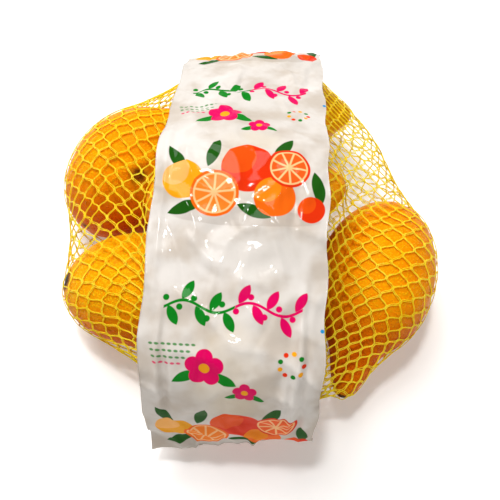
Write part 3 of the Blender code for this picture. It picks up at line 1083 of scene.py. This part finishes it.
def draw_bloom(p, x, y, size):
    """A flower of five round petals over two leaves."""
    for turn in (-25, 205):
        leaf_x = x + size * math.cos(math.radians(turn))
        p.ink(p.leaf(leaf_x, y - size * 0.5, size * 1.5, size * 0.55, turn), GREEN)
    for k in range(PETALS):
        angle = math.radians(90 + 360 / PETALS * k)
        petal_x, petal_y = x + 0.56 * size * math.cos(angle), y + 0.56 * size * math.sin(angle)
        p.ink(p.disc(petal_x, petal_y, size * 0.42), MAGENTA)
    p.ink(p.disc(x, y, size * 0.27), YELLOW)


def draw_small_marks(p):
    """A ring of dots, rows of short dashes and one blue dot between the larger motifs."""
    for k in range(RING_DOTS):
        angle = 2 * math.pi * k / RING_DOTS
        x = RING_MIDDLE[0] + RING_RADIUS * math.cos(angle)
        y = RING_MIDDLE[1] + RING_RADIUS * math.sin(angle)
        p.ink(p.disc(x, y, 0.95), (RED, GREEN, YELLOW)[k % 3])
    for row in range(4):
        for k in range(8 - row):
            mark = p.oval(-31.0 + 2.35 * k + 0.5 * row, 76.0 - 2.6 * row, 0.85, 0.5, -6)
            p.ink(mark, MAGENTA if row == 3 else GREEN, 0.85)
    p.ink(p.disc(35.4, 84.0, 0.8), BLUE)


def film_material():
    """Thin white glossy film, faintly yellow on the fruit where the fruit's light through the film is
    painted, with a print that barely shows on its inside.
    """
    n = Nodes("printed_film")
    place = n.place()
    clouds = n.noise(place, PAPER_CLOUDS, 3)
    near_fruit = n.attribute("near_fruit")
    values = {"clouds": clouds, "shades": n.noise(place, PAPER_SHADES, 3), "near_fruit": near_fruit}
    paper = n.layered(PAPER, PAPER_LAYERS, values)
    p = Print(n, paper)
    draw_garland(p)
    draw_vine(p)
    draw_bloom(p, -10.0, 67.0, 8.0)
    draw_bloom(p, 6.0, 57.0, 5.0)
    draw_small_marks(p)
    pressed = n.math("MULTIPLY", n.ramp(n.cells(place, FILM_PRESSED), 0.1, 0.6, 0.0, 0.5), near_fruit)
    crinkle = n.math("MULTIPLY", n.noise(place, FILM_CRINKLE, 3), FILM_CRINKLE_WEIGHT)
    n.bump(n.math("ADD", pressed, crinkle), FILM_BUMP)
    colour = n.mix(n.ramp(n.attribute("inside"), 0.0, 1.0, 0.0, INSIDE_PLAIN), p.colour, paper)
    n.set(Base_Color=colour, Roughness=n.ramp(clouds, 0.3, 0.7, 0.24, 0.36), Specular_IOR_Level=0.0)
    n.set(Coat_Weight=n.attribute("gloss"), Coat_Roughness=0.05)
    return n.material


# ---------------------------------------------------------------- floor, light and camera

COVE_REACH = 1.6
COVE_RADIUS = 0.7
COVE_HEIGHT = 1.5
COVE_SIDES = 96
COVE_STEPS = 13
# The radii of the flat floor's inner rings
FLOOR_RINGS = (0.001, 0.5)
FLOOR_LIGHT = 0.20
AIM = (0, 0, 0.04)
# Square lights: name, place, side and power
LIGHTS = (
    ("key", (-0.22, 0.38, 0.86), 0.50, 6.7),
    ("spark", (-0.06, 0.10, 0.92), 0.09, 3.5),
    ("fill", (0.25, -0.55, 0.70), 0.6, 0.6),
)
WORLD_COLOUR = (1.0, 0.90, 0.78, 1)
WORLD_LIGHT = 0.14
CAMERA_PLACE = (0, -0.135, 0.306)
CAMERA_TILT = 26
CAMERA_LENS = 43.2
CAMERA_SENSOR = 36


def add_floor():
    """A flat round floor that curves up into a low wall, far out, as studio paper does."""
    turn = np.linspace(0, 2 * math.pi, COVE_SIDES, endpoint=False)
    lift = np.linspace(0, math.pi / 2, COVE_STEPS)
    outer = COVE_REACH + COVE_RADIUS
    reach = np.concatenate((FLOOR_RINGS, COVE_REACH + COVE_RADIUS * np.sin(lift), (outer,)))[:, None]
    height = np.concatenate(((0, 0), COVE_RADIUS * (1 - np.cos(lift)), (COVE_HEIGHT,)))[:, None]
    points = np.stack(np.broadcast_arrays(reach * np.cos(turn), reach * np.sin(turn), height), axis=-1)
    faces = grid_faces(len(reach), len(turn), round_columns=True)
    mesh = bpy.data.meshes.new("floor")
    mesh.from_pydata(points.reshape(-1, 3).tolist(), [], faces.tolist())
    mesh.polygons.foreach_set("use_smooth", np.full(len(mesh.polygons), True))
    n = Nodes("pale_floor")
    colour = n.mix(n.noise(n.place(), 3), (0.88, 0.88, 0.88), (0.92, 0.92, 0.92))
    n.set(Base_Color=colour, Roughness=0.9, Specular_IOR_Level=0.1)
    n.set(Emission_Color=(1.0, 0.98, 0.95, 1.0), Emission_Strength=FLOOR_LIGHT)
    mesh.materials.append(n.material)
    floor = bpy.data.objects.new("floor", mesh)
    bpy.context.scene.collection.objects.link(floor)


def add_lights():
    """A dim warm light from all round, and the square lights, aimed at the bag."""
    world = bpy.data.worlds.new("studio")
    world.use_nodes = True
    background = world.node_tree.nodes["Background"]
    background.inputs["Color"].default_value = WORLD_COLOUR
    background.inputs["Strength"].default_value = WORLD_LIGHT
    bpy.context.scene.world = world
    for name, place, side, power in LIGHTS:
        data = bpy.data.lights.new(name, "AREA")
        data.size = side
        data.energy = power
        light = bpy.data.objects.new(name, data)
        light.location = place
        light.rotation_euler = (Vector(AIM) - Vector(place)).to_track_quat("-Z", "Y").to_euler()
        bpy.context.scene.collection.objects.link(light)


def add_camera():
    """The photograph's camera, over the near end of the bag and tilted down at it."""
    data = bpy.data.cameras.new("camera")
    data.lens = CAMERA_LENS
    data.sensor_width = CAMERA_SENSOR
    camera = bpy.data.objects.new("camera", data)
    camera.location = row_frame(np.array(CAMERA_PLACE))
    camera.rotation_euler = (math.radians(CAMERA_TILT), 0, 0)
    bpy.context.scene.collection.objects.link(camera)
    bpy.context.scene.camera = camera


add_camera()
add_lemons(peel_material())
add_net(yarn_material())
add_film(film_material())
add_floor()
add_lights()
bpy.context.scene.view_settings.view_transform = "Standard"
